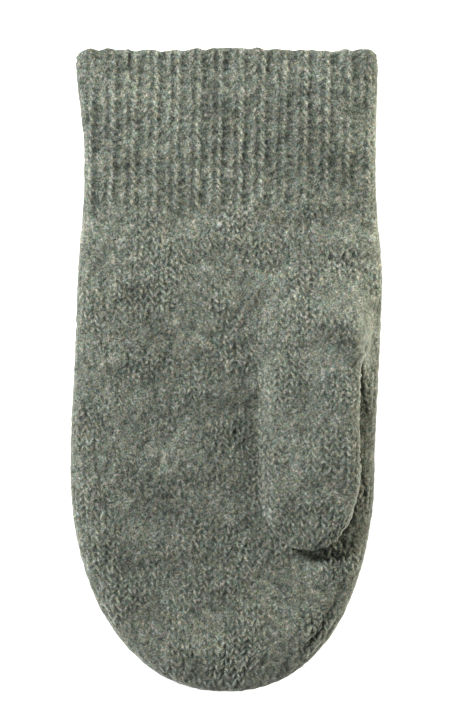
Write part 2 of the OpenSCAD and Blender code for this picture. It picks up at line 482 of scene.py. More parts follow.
def ribs(points, u, v):
    """Ribs: each knit column is a weak and a strong cord, with a tucked-in purl column on both sides. The
    painted shade is light on the cords' legs and purl bumps, with a painted shadow beside the strong cord.
    """
    stray_u, stray_v = wander(points)
    column = (u + 0.3 * stray_u - WALE_START - RIB_SLANT * (v - WRIST_Y)) / (2 * WALE)
    off = (column - np.round(column)) * 2 * WALE
    away = np.abs(off)
    ridge = rim(clamp(away / RIB_HALF), 2.2)
    cord = bell((away - CORD_X) / CORD_HALF) * np.where(off > 0, 1.0, WEAK_CORD)
    lobe = pulse((v + stray_v + LEG_SLOPE * away) / ROW) ** 0.8
    leg = cord * (0.15 + 0.85 * lobe)
    purl = (1 - ridge) * (1 - pulse((v + stray_v) / ROW))
    # Painted shadow: a dark stripe beside the strong cord, on the side away from the key light; the relief
    # has no dip there.
    gap = bell((off - CORD_SHADOW_X) / CORD_SHADOW_HALF)
    clear = clamp(1.0 + 0.2 * waves(points, 15, 14))
    height = clear * (RIB_RELIEF * ridge + CORD_RELIEF * leg) + PURL_RELIEF * purl
    painted_shade = clamp(0.34 + 0.66 * leg + 0.18 * purl - 0.18 * gap)
    return height, mix(0.5, painted_shade, clear)


def lumps(points):
    """Small lumps of felted fibre."""
    return 0.11 * waves(points, 1.5, 15) + 0.12 * waves(points, 3.2, 16)


def felted(points, pattern):
    """A pattern's relief and painted shade under the lumps of felted fibre: the lumps get painted light on
    their tops and painted shade in their dips.
    """
    relief, painted_shade = pattern
    lump = lumps(points)
    return relief + lump, painted_shade + 0.5 * lump


def sag(points):
    """Broad soft waves of the cloth: those it settled into, and smaller ones."""
    flat = points * [0.6, 1, 0]
    return settled(points) + 0.26 * waves(flat, 22, 17) + 0.24 * waves(flat, 10, 18)


# ---- meshes


def grid_normals(points):
    return unit(np.cross(np.gradient(points, axis=1), -np.gradient(points, axis=0)))


def stitch_uv(u, v):
    """Number of the wale and of the row, which the wool's streaks follow."""
    return stacked((u - WALE_START) / WALE, v / ROW)


def shell(base, pattern, u, v, thickness=FABRIC, keep=None):
    """Closed sheet of fabric: a fine outer face with its relief, and a coarser inner face.

    base is a grid of points, row by row, pattern its relief and painted shade, and keep a mask of the
    coarse cells that the sheet covers. thickness is one number, or one for every point.
    """
    k = INNER_EVERY
    relief, painted_shade = pattern
    rows, cols = base.shape[:2]
    normals = grid_normals(base)
    outer = base + normals * relief[..., None]
    inner = (base - normals * np.asarray(thickness)[..., None])[::k, ::k]
    inner_rows, inner_cols = inner.shape[:2]
    if keep is None:
        keep = np.ones((inner_rows - 1, inner_cols - 1), dtype=bool)
    fine = np.repeat(np.repeat(keep, k, axis=0), k, axis=1)

    def outer_id(r, c):
        return r * cols + c

    def inner_id(r, c):
        return rows * cols + r * inner_cols + c

    def quads(mask, number):
        r, c = np.nonzero(mask)
        return stacked(number(r, c), number(r + 1, c), number(r + 1, c + 1), number(r, c + 1))

    faces = quads(fine, outer_id).tolist() + np.roll(quads(keep, inner_id)[:, ::-1], 1, axis=1).tolist()
    rim_faces = []
    around = np.pad(keep, 1)
    for row, col in zip(*np.nonzero(keep)):
        for beyond, a, b in (
            (around[row, col + 1], (row, col + 1), (row, col)),
            (around[row + 2, col + 1], (row + 1, col), (row + 1, col + 1)),
            (around[row + 1, col], (row, col), (row + 1, col)),
            (around[row + 1, col + 2], (row + 1, col + 1), (row, col + 1)),
        ):
            if beyond:
                continue
            dr, dc = b[0] - a[0], b[1] - a[1]
            line = [outer_id(a[0] * k + dr * i, a[1] * k + dc * i) for i in range(k + 1)]
            first, second = inner_id(*a), inner_id(*b)
            half = k // 2
            rim_faces += [(line[i + 1], line[i], first) for i in range(half)]
            rim_faces.append((line[half], first, second))
            rim_faces += [(line[i + 1], line[i], second) for i in range(half, k)]
    uv = stitch_uv(u, v)
    return {
        "points": np.concatenate([outer.reshape(-1, 3), inner.reshape(-1, 3)]),
        "faces": faces,
        "rim": rim_faces,
        "uv": np.concatenate([uv.reshape(-1, 2), uv[::k, ::k].reshape(-1, 2)]),
        "painted_shade": np.concatenate([painted_shade.ravel(), np.full(inner_rows * inner_cols, 0.5)]),
        "area": float(cell_areas(base)[fine].sum()),
    }


def ring_shell(points, uv, painted_shade):
    """Closed ring of fabric, from the points round each of its sections."""
    return {
        "points": points.reshape(-1, 3), "faces": ring_faces(*points.shape[:2], True).tolist(), "rim": [],
        "uv": uv.reshape(-1, 2), "painted_shade": painted_shade.ravel(),
    }


def cell_areas(base):
    """Area of each cell of a grid, from its diagonals."""
    first, second = base[1:, 1:] - base[:-1, :-1], base[1:, :-1] - base[:-1, 1:]
    return np.linalg.norm(np.cross(first, second), axis=2) / 2


def cells(grid):
    """Middle points of the coarse cells of a grid."""
    return grid[INNER_EVERY // 2::INNER_EVERY, INNER_EVERY // 2::INNER_EVERY]


def add_piece(name, *shells):
    """One mesh object from closed shells, with its stitch coordinates, painted shade and place at rest."""
    points, uv, painted_shade = (
        np.concatenate([part[key] for part in shells]) for key in ("points", "uv", "painted_shade"))
    starts = np.cumsum([0] + [len(part["points"]) for part in shells]).tolist()

    def numbered(key):
        """Faces of all the shells, with the points numbered on from shell to shell."""
        return [[start + i for i in face] for start, part in zip(starts, shells) for face in part[key]]

    smooth_faces = numbered("faces")
    faces = smooth_faces + numbered("rim")
    used = np.unique(np.concatenate([np.asarray(face) for face in faces]))
    number = np.full(len(points), -1)
    number[used] = np.arange(len(used))
    piece = add_mesh(name, (points[used] * MM).tolist(), [number[face].tolist() for face in faces])
    mesh = piece.data
    layer = mesh.uv_layers.new(name="knit")
    corners = read(mesh.loops, "vertex_index", kind=np.int32)
    layer.data.foreach_set("uv", uv[used][corners].astype(np.float32).ravel())
    # The painted shade is kept on every point for the wool's colour.
    mesh.attributes.new("painted_shade", "FLOAT", "POINT").data.foreach_set("value", painted_shade[used].astype(np.float32))
    rest = mesh.attributes.new("rest", "FLOAT_VECTOR", "POINT")
    rest.data.foreach_set("vector", points[used].astype(np.float32).ravel())
    mesh.polygons.foreach_set("use_smooth", np.arange(len(faces)) < len(smooth_faces))
    mesh.update()
    return piece


def grid_shares(length, step=GRID):
    """Even shares from 0 to 1 whose count suits the coarser inner face."""
    count = max(1, int(round(length / step / INNER_EVERY))) * INNER_EVERY
    return np.linspace(0, 1, count + 1)


def split_at(path, y):
    """The left, middle and right stretches of a U-shaped path, cut where it crosses the height y."""
    lowest = int(np.argmin(path[:, 1]))
    cut_left = int(np.argmax(path[:lowest, 1] < y))
    cut_right = lowest + int(np.argmax(path[lowest:, 1] > y))

    def crossing(a, b):
        share = (y - path[a, 1]) / (path[b, 1] - path[a, 1])
        return mix(path[a], path[b], share)

    start, end = crossing(cut_left - 1, cut_left), crossing(cut_right - 1, cut_right)
    left = np.vstack([path[:cut_left], start])
    middle = np.vstack([start, path[cut_left:cut_right], end])
    right = np.vstack([end, path[cut_right:]])
    return left, middle, right


def round_corners(path):
    """Cuts a U-shaped path where it turns through 45 degrees: its left side, round end and right side."""
    normals = path_normals(path)
    lowest = int(np.argmin(path[:, 1]))
    first = int(np.argmax(normals[:, 1] > abs(normals[:, 0])))
    second = lowest + int(np.argmax(normals[lowest:, 1] < abs(normals[lowest:, 0])))
    return path[:first + 1], path[first:second + 1], path[second:]


# ---- surfaces of the hand

outline = hand_outline()
hand_edge = Edge(outline, EDGE_ROUNDING, EDGE_POWER, HAND_TOP - FOLD_Z)
BAND_INSET = float(hand_edge.inset_at(BAND_HALF))
SEAM_FADE = 1.3

ROOT_Y = THUMB_ROOT_Y + 3.0
CLIFF = 4.5
OVERLAP = 1.2
FLANK = 5.0
FLANK_LENGTH = 11.0
TILT_WIDTH = 46.0
SHOULDER = 10.0
SIDE_FALL = 25.0
OPENING_HALF = 17.0

# Groove that the last decreases leave beside the thumb side's band
DECREASE_INSET = 5.8
DECREASE_HALF = 1.2
DECREASE_DEPTH = 0.42
DECREASE_TOP_Y = -77.0
DECREASE_LOW_Y = -116.0
DECREASE_FADE = 9.0

# Half of the fingertip closure's length along the outline
FINGERTIP_REACH = 22.0

# Soft hollow in the palm beside the thumb
HOLLOW_DEPTH = 1.6
HOLLOW_X = THUMB_LEFT + 0.5
HOLLOW_HALF = 6.0
HOLLOW_Y = -20.0
HOLLOW_LENGTH = 40.0


def palm_height(points, inset):
    """Height of the palm's face without the thumb's base."""
    x, y = xy(points)
    height = fold_z(y) + crown(y) * hand_edge.share(inset)
    flat = stacked(x, y, np.zeros_like(x))
    hollow = np.exp(-((x - HOLLOW_X) / HOLLOW_HALF) ** 2 - ((y - HOLLOW_Y) / HOLLOW_LENGTH) ** 4)
    return height + (sag(flat) - HOLLOW_DEPTH * hollow) * smooth(inset / SAG_EDGE)


def tilt(x):
    """The thumb's height across its width: it rises gently out of the palm from the left."""
    share = (x - THUMB_LEFT + FLANK) / TILT_WIDTH
    return mix(clamp(share), smooth(share), 0.4)


def base_rise(x, y):
    """How far the thumb's base lifts the palm's fabric, out to the thumb side of the hand."""
    top = (THUMB_TOP - HAND_TOP) * (1 - smooth((y - ROOT_Y) / (BASE_END_Y - ROOT_Y)))
    hand_side = middle_x(y) + half_width(y) - BAND_INSET
    return top * tilt(x) * smooth((hand_side - x) / SHOULDER)


def with_height(plane, height):
    return np.concatenate([plane, height[..., None]], axis=-1)


def hand_panel(low_y, high_y, front):
    """Grid of one face of the hand between its side bands, and how far in from the outline it lies.

    low_y is where it ends, or None for the face that goes on round the tip.
    """
    inner = hand_edge.inside(BAND_INSET)
    _, below_top, _ = split_at(inner, high_y)
    if low_y is None:
        left, bottom, right = round_corners(below_top)
    else:
        left, _, right = split_at(below_top, low_y)
        bottom = np.vstack([left[-1], right[0]])
    right = right[::-1]
    top = np.vstack([left[0], right[0]])
    length = lengths_along(left)[-1]
    plane = patch(top, bottom, left, right, grid_shares(2 * HAND_HALF), grid_shares(length))
    inset = np.maximum(BAND_INSET, hand_edge.distance(plane))
    inset[:, 0] = inset[:, -1] = BAND_INSET
    if low_y is None:
        inset[-1] = BAND_INSET
    return (plane, inset) if front else (plane[:, ::-1], inset[:, ::-1])


def meeting(pattern, inset):
    """Lets the relief run out where a panel meets the side bands edge to edge."""
    relief, painted_shade = pattern
    return relief * smooth((hand_edge.arc_at(inset) - BAND_HALF) / SEAM_FADE), painted_shade


def on_base(plane):
    """The part of the palm that belongs to the thumb's base."""
    x, y = xy(plane)
    return (np.abs(x - THUMB_X) < THUMB_HALF + FLANK / 2) & (y > ROOT_Y - OVERLAP) & (y < BASE_END_Y)


def in_opening(plane):
    """The way from the hand into the thumb, through the step under the thumb's base."""
    x, y = xy(plane)
    return (np.abs(x - THUMB_X) < OPENING_HALF) & (y > ROOT_Y - CLIFF) & (y < ROOT_Y - OVERLAP)


def decrease_line(x, y, inset):
    """Groove beside the edge stitches of the thumb side, left by the last decreases."""
    along = smooth((DECREASE_TOP_Y - y) / DECREASE_FADE) * smooth((y - DECREASE_LOW_Y) / DECREASE_FADE)
    return bell((inset - DECREASE_INSET) / DECREASE_HALF) * along * (x > 0)


def palm_pieces():
    """The palm, and the thumb's base that rises out of it."""
    plane, inset = hand_panel(None, WRIST_Y, True)
    x, y = xy(plane)
    fall = mix(CLIFF, SIDE_FALL, smooth((x - THUMB_RIGHT + 2) / FLANK))
    rise = base_rise(x, y) * smooth((y - ROOT_Y + fall) / fall)
    base = with_height(plane, palm_height(plane, inset) + rise)
    relief, painted_shade = plain_knit(base, x, y)
    groove = decrease_line(x, y, inset)
    # The groove is darkened as well, with painted shade.
    knit = relief - DECREASE_DEPTH * groove, painted_shade - 0.45 * groove
    pattern = felted(base, meeting(knit, inset))
    middle = cells(plane)
    palm_cells = ~on_base(middle) & ~in_opening(middle)
    palm = add_piece("palm_knit", shell(base, pattern, x, y, keep=palm_cells))
    thumb_base = add_piece("thumb_base_knit", shell(base, pattern, x, y, keep=on_base(middle)))
    return palm, thumb_base


def back_height(plane, inset):
    y = plane[..., 1]
    return fold_z(y) - floor_depth(y) * hand_edge.share(inset)


def above_floor(base, pattern):
    """Keeps the relief of the lower face off the floor."""
    relief, painted_shade = pattern
    return np.minimum(relief, base[..., 2] - FLOOR_CLEAR), painted_shade


def back_piece():
    plane, inset = hand_panel(None, WRIST_Y, False)
    x, y = xy(plane)
    base = with_height(plane, back_height(plane, inset))
    pattern = above_floor(base, felted(base, meeting(plain_knit(base, x, y), inset)))
    return add_piece("back_of_hand_knit", shell(base, pattern, x, y))


# The mouth's edge: slow waves, rounded corners, and a small notch where the first round was joined
JOIN_X = -39.2
JOIN_STEP = 0.9
JOIN_WIDTH = 0.8
JOIN_DEPTH = 0.5
JOIN_HALF = 1.1
JOIN_LENGTH = 6.5
JOIN_FADE = 4.0
WAVE_PITCH = 62.0
WAVE_TOP_X = 5.0
WAVE_HEIGHT = 0.5
SCALLOP_HEIGHT = 0.3
MOUTH_LEAN = 1.8
LEAN_LENGTH = 30.0
LEAN_LOWER = 0.15
MOUTH_HALF = half_width(RIB_Y)
CORNER_DROP = 2.2
CORNER_WIDTH = 6.0
WAVE_FADE = 18.0


def mouth_wave(x):
    line = stacked(x, np.zeros_like(x), np.zeros_like(x))
    slow = WAVE_HEIGHT * np.cos(2 * math.pi * (x - WAVE_TOP_X) / WAVE_PITCH)
    step = JOIN_STEP * smooth((JOIN_X - x) / JOIN_WIDTH)
    beyond = np.abs(x - CUFF_SHIFT - MOUTH_SHIFT) - (MOUTH_HALF - CORNER_WIDTH)
    corner = CORNER_DROP * clamp(beyond / CORNER_WIDTH) ** 2
    rib = SCALLOP_HEIGHT * np.cos(math.pi * (x - WALE_START - RIB_SLANT * (RIB_Y - WRIST_Y)) / WALE)
    lean = MOUTH_LEAN * (smooth((x + HAND_HALF) / LEAN_LENGTH) - LEAN_LOWER)
    return slow + lean + step - corner + rib + 0.3 * waves(line, 8, 21) + 0.2 * waves(line, 2.5, 22)


def mouth_shift(x, y):
    """How far the mouth's wave moves the fabric near it along the cuff."""
    return mouth_wave(x) * smooth((y - RIB_Y + WAVE_FADE) / WAVE_FADE)


def join_notch(x, y):
    return JOIN_DEPTH * bell((x - JOIN_X) / JOIN_HALF) * smooth((y - RIB_Y + JOIN_LENGTH) / JOIN_FADE)


def cuff_pattern(points, x, y, front, inset=HAND_HALF):
    """Ribs that fade into the plain knit of the palm."""
    relief, painted_shade = ribs(points, x, y)
    plain_relief, plain_painted_shade = plain_knit(points, x, y)
    into_cuff = smooth((y - WRIST_Y) / RIB_FADE)
    relief, painted_shade = mix(plain_relief, relief - RIB_SINK, into_cuff), mix(plain_painted_shade, painted_shade, into_cuff)
    notch = join_notch(x, y) * front
    # The notch is darkened as well, with painted shade.
    return felted(points, meeting((relief - notch, painted_shade - 0.5 * notch), inset))


def cuff_piece(name, front):
    plane, inset = hand_panel(WRIST_Y, RIB_Y, front)
    x, y = xy(plane)
    base = with_height(plane, palm_height(plane, inset) if front else back_height(plane, inset))
    base[..., 1] += mouth_shift(x, y)
    pattern = cuff_pattern(base, x, y, front, inset)
    if not front:
        pattern = above_floor(base, pattern)
    return add_piece(name, shell(base, pattern, x, y))


def band_piece(name, first, last):
    """Edge stitches round the side fold, between two points of the outline."""
    count = max(1, round((last - first) / INNER_EVERY)) * INNER_EVERY
    rows = np.linspace(first, last, count + 1)
    numbers = np.arange(len(outline))

    def between(values):
        return stacked(*(np.interp(rows, numbers, column) for column in values.T))[:, None]

    arcs = (grid_shares(2 * BAND_HALF) * 2 - 1) * BAND_HALF
    inset = hand_edge.inset_at(np.abs(arcs))
    share = hand_edge.share(inset)
    plane = between(outline) + between(hand_edge.normals) * inset[None, :, None]
    y = plane[..., 1]
    base = with_height(plane, fold_z(y) + np.where(arcs > 0, crown(y), -floor_depth(y)) * share)
    base[..., 1] += mouth_shift(*xy(base))
    u = np.broadcast_to(arcs + WALE_START + WALE / 2, base.shape[:2])
    v = np.broadcast_to((rows * GRID)[:, None], base.shape[:2])
    relief, painted_shade = plain_knit(base, u, v)
    relief = BAND_STITCHES * (relief * smooth((BAND_HALF - np.abs(arcs)) / SEAM_FADE))
    relief, painted_shade = felted(base, (relief, painted_shade))
    relief = relief * mix(FOLD_RELIEF, 1.0, smooth(np.abs(arcs) / BAND_HALF))
    return add_piece(name, shell(base, (relief, painted_shade), u, v))


# ---- cast-on edge


def mouth_loop(step):
    """The middle of the fabric round the cuff's mouth, as x and z, and the way out of it."""
    inset = np.append(CUFF_HALF * np.linspace(0, 1, 400)[:-1] ** 4, CUFF_HALF)
    share = hand_edge.share(inset)
    half = MOUTH_HALF - FABRIC / 2
    top = fold_z(RIB_Y) + (crown(RIB_Y) - FABRIC / 2) * share
    low = fold_z(RIB_Y) - (floor_depth(RIB_Y) - FABRIC / 2) * share
    x = half * (1 - inset / CUFF_HALF)
    loop = np.concatenate([
        stacked(-x, low)[::-1], stacked(-x, top)[1:], stacked(x, top)[::-1][1:], stacked(x, low)[1:]])
    loop = even_path(loop, step)[:-1]
    forward = loop_directions(loop)
    loop[:, 0] += middle_x(RIB_Y)
    return loop, stacked(-forward[:, 1], forward[:, 0])


def cast_on_piece():
    """Rolled edge that carries the ribs over the mouth of the cuff and into it."""
    loop, out = mouth_loop(GRID)
    count, turns = len(loop), 24
    angle = full_turn(turns)
    reach = MOUTH_Y - RIB_Y
    side = FABRIC / 2 * np.cos(angle)
    along = reach * np.sin(angle) * np.where(np.sin(angle) > 0, 1.0, 0.4)
    x = np.broadcast_to(loop[:, :1], (count, turns))
    flat = stacked(x, RIB_Y + along + 0 * x, np.broadcast_to(loop[:, 1:], (count, turns)))
    front = (loop[:, 1] > fold_z(RIB_Y))[:, None]
    relief, painted_shade = cuff_pattern(flat, x, flat[..., 1], front)
    proud = relief * smooth(1.6 * np.cos(angle) + 0.2)
    points = flat.copy()
    line = stacked(loop[:, 0], np.full(count, RIB_Y), np.zeros(count))
    inset = MOUTH_HALF - np.abs(loop[:, 0] - middle_x(RIB_Y))
    points[..., 2] += (sag(line) * smooth(inset / SAG_EDGE))[:, None] * front
    points[..., 0] += out[:, :1] * (side + proud)
    points[..., 1] += mouth_wave(loop[:, 0])[:, None]
    points[..., 2] = np.maximum(FLOOR_CLEAR, points[..., 2] + out[:, 1:] * (side + proud))
    return add_piece("cast_on_stitches", ring_shell(points, stitch_uv(x, RIB_Y + along + 0 * x), painted_shade))


# ---- thumb

THUMB_ROUND = 30.0
THUMB_POWER = 2.1
THUMB_EDGE_ROUNDING = 6.0
THUMB_EDGE_POWER = 2.4
THUMB_FRONT_FABRIC = 2.2
THUMB_UNDER_FABRIC = 2.0
LEFT_LIFT = 0.1
LEFT_TOP = 3.8
LEFT_ROUNDING = 8.5
ROOT_LEAN = 17.0
TIP_LEAN = 9.0
RIGHT_LIFT = 0.6
TIP_DROP = 1.3
CLOSURE_HALF = 10.0
CLOSURE_LENGTH = 6.0
CLOSURE_FADE = 4.0
GATHERS = 9


def thumb_outline():
    """From the root on the palm side of the fold, down round the tip and back, flaring at the root."""
    y = stations(ROOT_Y, THUMB_TIP_Y, THUMB_ROUND, 300)
    flare = FLANK * smooth((y - ROOT_Y + FLANK_LENGTH) / FLANK_LENGTH)
    half = (THUMB_HALF + flare) * rim(clamp((THUMB_TIP_Y + THUMB_ROUND - y) / THUMB_ROUND), THUMB_POWER)
    return two_sided(THUMB_X, half, y)


thumb_edge = Edge(thumb_outline(), THUMB_EDGE_ROUNDING, THUMB_EDGE_POWER, THUMB_TOP - THUMB_MID)


def thumb_plane():
    """Grid over the thumb, with lines packed towards its rounded edges, and how far round each line is."""
    left, bottom, right = round_corners(thumb_edge.path)
    right = right[::-1]
    top = np.vstack([left[0], right[0]])
    half_arc = float(thumb_edge.arc_at(THUMB_HALF))
    arcs = grid_shares(2 * half_arc) * 2 * half_arc
    far_side = 2 * THUMB_HALF - thumb_edge.inset_at(2 * half_arc - arcs)
    inset = np.where(arcs < half_arc, thumb_edge.inset_at(arcs), far_side)
    across = clamp(inset / (2 * THUMB_HALF))
    length = lengths_along(left)[-1] + THUMB_ROUND / 3
    end_arc = float(thumb_edge.arc_at(length))
    down_arc = grid_shares(end_arc) * end_arc
    down = 1 - clamp(thumb_edge.inset_at(end_arc - down_arc) / length)
    return patch(top, bottom, left, right, across, down), THUMB_X + arcs - half_arc


def near_tip(y, reach=26.0):
    """1 at the thumb's tip, down to 0 at a distance from it."""
    return smooth((THUMB_TIP_Y + reach - y) / reach)


def past_root(y, reach):
    """0 at the thumb's root, up to 1 at a distance towards its tip."""
    return smooth((ROOT_Y - y) / reach)


def leaning(x, y):
    """0 where the thumb's side melts into the palm at its left, 1 where it stands clear at its right."""
    return smooth((x - THUMB_LEFT - 1) / mix(ROOT_LEAN, TIP_LEAN, near_tip(y)))


def border_height(plane, on_palm):
    """Height of the thumb's side fold: it lies on the palm at the left and stands off it at the right."""
    x, y = xy(plane)
    to_right = leaning(x, y)
    free = mix(on_palm + LEFT_LIFT, THUMB_MID + RIGHT_LIFT, to_right)
    free = free - TIP_DROP * near_tip(y) * to_right
    return mix(on_palm, free, past_root(y, 13.0))


def gathered(plane, inset, pattern):
    """The last stitches of the thumb, drawn together towards the middle of its tip."""
    relief, painted_shade = pattern
    x, y = plane[..., 0] - THUMB_X, plane[..., 1] - THUMB_TIP_Y
    turn = np.arctan2(x, y + 2)
    pucker = pulse(GATHERS * turn / math.pi)
    end, side = CLOSURE_LENGTH - inset, CLOSURE_HALF - np.abs(x)
    near = smooth(end / CLOSURE_FADE) * smooth(side / CLOSURE_FADE)
    drawn = 0.6 * near * (y < THUMB_ROUND)
    # Painted shade between the gathers, lighter on their folds.
    return mix(relief, 0.15 + 0.45 * pucker, drawn), mix(painted_shade, 0.4 + 0.4 * pucker, drawn)


def in_closure(plane, inset):
    x, y = plane[..., 0] - THUMB_X, plane[..., 1] - THUMB_TIP_Y
    return (inset < CLOSURE_LENGTH) & (np.abs(x) < CLOSURE_HALF) & (y < THUMB_ROUND)


def thumb_pieces():
    """The thumb's front and underside, and the closure at its tip, which takes in the end of both."""
    plane, round_x = thumb_plane()
    x, y = xy(plane)
    u = mix(x, round_x, leaning(x, y))
    outward = -thumb_edge.normals[thumb_edge.nearest(plane)]
    inset = np.maximum(0, thumb_edge.distance(plane))
    inset[:, 0] = inset[:, -1] = inset[-1] = 0
    on_palm = palm_height(plane, hand_edge.distance(plane))
    on_base = on_palm + base_rise(x, y)
    out_of_base = past_root(y, 16.0)
    side = border_height(plane, on_palm)
    share = mix(smooth(inset / LEFT_ROUNDING), thumb_edge.share(inset), leaning(x, y))
    left_top = on_palm + LEFT_TOP
    top = left_top + (THUMB_TOP - 0.3 - left_top) * tilt(x) - 1.5 * near_tip(y, 24.0)
    over = with_height(plane, mix(on_base, side + (top - side) * share, out_of_base))
    over[..., 2] += 0.4 * waves(over * [1, 1, 0], 13, 23) * smooth(inset / 8)

    side = mix(on_base, side, out_of_base)
    floor = mix(on_palm - 0.8, np.maximum(on_palm + 0.5, THUMB_LOW + 0.5), past_root(y, 8.0))
    under = with_height(plane, side - np.maximum(0.02, side - floor) * share)
    hollow = over[..., 2] - under[..., 2]
    closed = smooth(inset / 1.5)
    closing = in_closure(cells(plane), cells(inset))

    def face(points, relief_share, fabric, turned):
        """What shell() takes. The fabric thins out where the faces meet, and its relief points sideways."""
        relief, painted_shade = felted(points, gathered(plane, inset, plain_knit(points, u, y, 0.75)))
        points[..., :2] += outward * ((1 - closed) * relief * leaning(x, y))[..., None]
        thickness = np.minimum(fabric, 0.05 + 0.45 * hollow)
        order = slice(None, None, -1 if turned else 1)
        pattern = ((relief * relief_share * closed)[:, order], painted_shade[:, order])
        return points[:, order], pattern, u[:, order], y[:, order], thickness[:, order]

    front_args = face(over, 1.0, THUMB_FRONT_FABRIC, False)
    under_args = face(under, 0.7, THUMB_UNDER_FABRIC, True)
    front = add_piece("thumb_front_knit", shell(*front_args, ~closing))
    underside = add_piece("thumb_underside_knit", shell(*under_args, ~closing[:, ::-1]))
    closure = add_piece(
        "thumb_tip_stitches", shell(*front_args, closing), shell(*under_args, closing[:, ::-1]))
    return front, underside, closure


# ---- thumb opening

PICKED_UP_RADIUS = 1.25


def opening_piece():
    """Round of picked-up stitches where the thumb's tube leaves the palm."""
    turn = full_turn(160)
    c, s = np.cos(turn), np.sin(turn)
    x = THUMB_X + (OPENING_HALF + PICKED_UP_RADIUS) * np.sign(c) * np.abs(c) ** 0.7
    upper = 0.5 + 0.5 * np.sign(s) * np.abs(s) ** 0.7
    y = ROOT_Y - CLIFF * (1 - upper)
    plane = stacked(x, y)
    low = palm_height(plane, hand_edge.distance(plane)) - FABRIC / 2
    line = with_height(plane, low + base_rise(x, y) * upper)
    forward = loop_directions(line)
    across = unit(np.cross(forward, [0, 1, 0]))
    third = np.cross(forward, across)
    travel = lengths_along(line)[:, None]
    angle = full_turn(12)
    bead = pulse(travel / WALE + angle / (2 * math.pi))
    radius = PICKED_UP_RADIUS * (0.75 + 0.25 * bead)
    turned = across[:, None] * np.cos(angle)[:, None] + third[:, None] * np.sin(angle)[:, None]
    points = line[:, None] + radius[..., None] * turned
    uv = stacked(np.broadcast_to(angle / 2, radius.shape), travel / ROW + 0 * radius)
    # The bead pattern is the painted shade: light on each bead, dark between them.
    return add_piece("picked_up_stitches", ring_shell(points, uv, bead))


# ---- wool

# Brightness of the fibres that the middle of the wool's colours stands for, and how far its ends lie off it
FIBRE_MIDDLE = 0.83
FIBRE_SPREAD = 0.142
STREAK_WIDTH = 0.48
STREAK_LENGTH = 1.7
HAZE_WIDTH = 0.31
HAZE_LENGTH = 1.6
WOOL_COLOURS = [
    (0.0, (0.021, 0.028, 0.023)),
    (0.25, (0.062, 0.075, 0.060)),
    (0.5, (0.126, 0.138, 0.110)),
    (0.75, (0.205, 0.216, 0.180)),
    (1.0, (0.36, 0.37, 0.32)),
]


class Graph:
    """Short names for building a material out of nodes."""

    def __init__(self, material):
        self.tree = material.node_tree
        self.tree.nodes.clear()

    def node(self, kind, **settings):
        node = self.tree.nodes.new(kind)
        for key, value in settings.items():
            setattr(node, key, value)
        return node

    def plug(self, value, socket):
        if isinstance(value, bpy.types.NodeSocket):
            self.tree.links.new(value, socket)
        else:
            socket.default_value = value

    def fill(self, node, *values):
        """Fills a node's sockets in their order, and gives its output."""
        for value, socket in zip(values, node.inputs):
            self.plug(value, socket)
        return node.outputs[0]

    def math(self, operation, a, b=0.0, c=0.0):
        return self.fill(self.node("ShaderNodeMath", operation=operation), a, b, c)

    def vector(self, x, y, z):
        return self.fill(self.node("ShaderNodeCombineXYZ"), x, y, z)

    def split(self, vector):
        node = self.node("ShaderNodeSeparateXYZ")
        self.plug(vector, node.inputs[0])
        return node.outputs

    def noise(self, vector, scale, detail=2.0, roughness=0.5):
        node = self.node("ShaderNodeTexNoise", noise_dimensions="3D")
        self.plug(vector, node.inputs["Vector"])
        set_inputs(node, Scale=scale, Detail=detail, Roughness=roughness)
        return node.outputs["Fac"]

    def remap(self, value, low, high, to_low=0.0, to_high=1.0):
        return self.fill(self.node("ShaderNodeMapRange", clamp=True), value, low, high, to_low, to_high)

    def sum(self, *terms):
        """Weighted sum of (value, weight) pairs."""
        total = 0.0
        for value, weight in terms:
            total = self.math("MULTIPLY_ADD", value, weight, total)
        return total

    def tinted(self, colour, red, green, blue):
        node = self.node("ShaderNodeMix", data_type="RGBA", blend_type="MULTIPLY")
        node.inputs["Factor"].default_value = 1.0
        self.plug(colour, node.inputs[6])
        self.plug(self.vector(red, green, blue), node.inputs[7])
        return node.outputs[2]

    def ramp(self, value, stops):
        node = self.node("ShaderNodeValToRGB")
        elements = node.color_ramp.elements
        while len(elements) < len(stops):
            elements.new(0.5)
        for element, (place, colour) in zip(elements, stops):
            element.position = place
            element.color = (*colour, 1)
        self.plug(value, node.inputs[0])
        return node.outputs[0]


def hairs(graph, rest, angle, width, length, offset):
    """Streaks of stray fibre that run one way over the surface, gently curled."""
    x, y, z = graph.split(rest)
    c, s = math.cos(angle), math.sin(angle)
    along = graph.sum((x, c), (y, s))
    cross = graph.sum((y, c), (x, -s), (graph.noise(rest, 0.4, 1.0), 2.4))
    place = graph.vector(
        graph.math("DIVIDE", along, length), graph.math("DIVIDE", cross, width),
        graph.math("MULTIPLY_ADD", z, 1 / length, offset))
    return graph.noise(place, 1.0, 1.0)


def yarn_streaks(graph, rest):
    """Fibres that follow the legs of the stitches, different in every leg."""
    stitch = graph.split(graph.node("ShaderNodeUVMap", uv_map="knit").outputs[0])
    column = graph.math("ROUND", stitch[0])
    off = graph.math("SUBTRACT", stitch[0], column)
    middle = graph.math("MULTIPLY", graph.math("ABSOLUTE", off), WALE)
    rise = graph.math("MULTIPLY", stitch[1], ROW)
    norm = math.hypot(1, LEG_SLOPE)
    cross = graph.sum((rise, 1 / norm), (middle, LEG_SLOPE / norm), (graph.noise(rest, 0.8, 2.0), 1.6))
    along = graph.sum((middle, 1 / norm), (rise, -LEG_SLOPE / norm))
    leg = graph.sum((column, 7.31), (graph.math("SIGN", off), 2.7))
    place = graph.vector(
        graph.math("DIVIDE", cross, STREAK_WIDTH), graph.math("DIVIDE", along, STREAK_LENGTH), leg)
    return graph.noise(place, 1.0, 2.0, 0.6)


